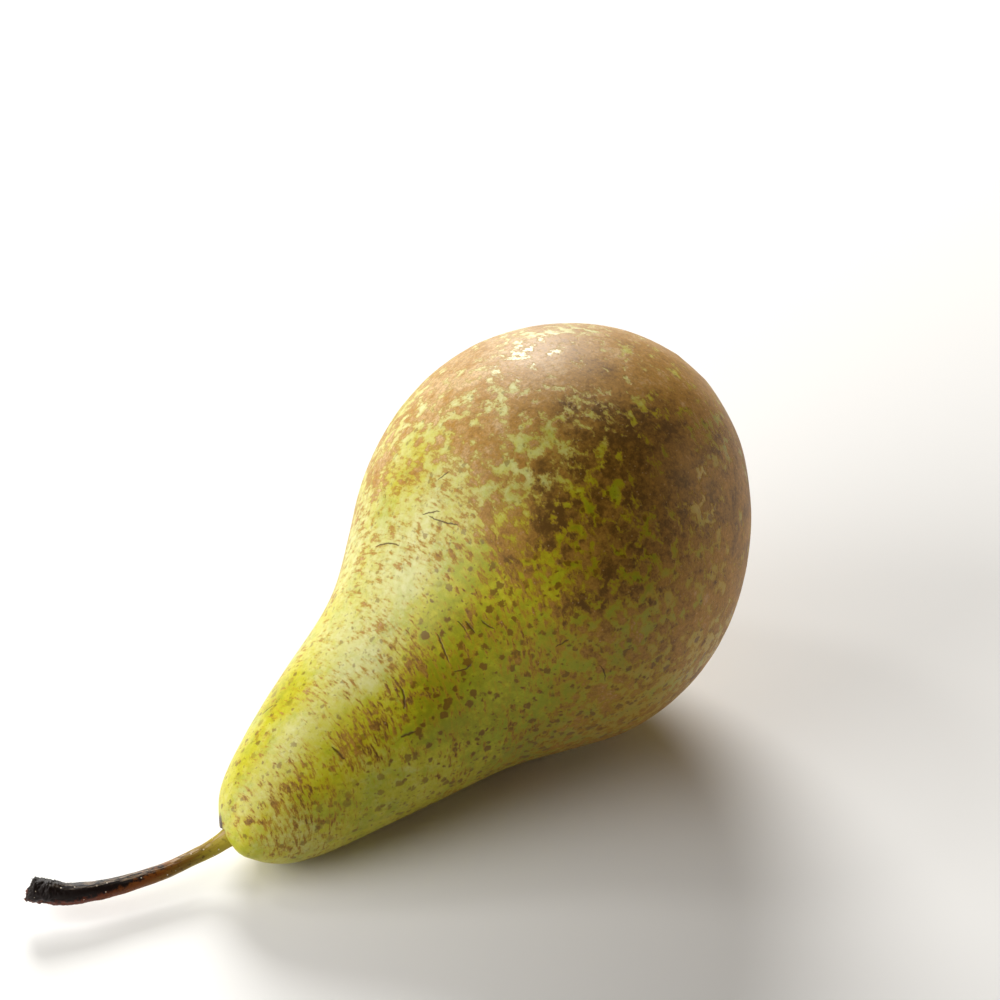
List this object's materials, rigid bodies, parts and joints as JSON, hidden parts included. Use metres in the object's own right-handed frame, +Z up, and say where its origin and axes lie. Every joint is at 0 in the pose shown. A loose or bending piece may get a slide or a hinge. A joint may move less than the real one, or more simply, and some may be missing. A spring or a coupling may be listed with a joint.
{
  "type": "pear",
  "caption": "Long-necked fresh pear lying on its side: rounded belly, tapering bent neck, curved woody stem set in a pit, and a dried calyx in the basin at the blossom end.",
  "frame": {"origin": "Middle of the small flat spot under the belly, on which the pear rests.", "axes": "+Z up from the table; +X along the pear from the stem end towards the blossom end, level; +Y sideways to the left of +X."},
  "size_m": [0.1362, 0.0669, 0.0685],
  "materials": {
    "skin": "thin waxy pear skin, yellow-green on the neck, covered in lacy brown russet on the belly, with small brown lenticels",
    "stem": "woody stalk, olive green at the neck, dark brown and wrinkled along its length, nearly black at the cut end",
    "calyx": "dry, brittle, dark brown sepals, matt and slightly hairy"
  },
  "bodies": {
    "root": {"pear_body": "skin", "stem": "stem", "calyx": "calyx"}
  },
  "joints": []
}
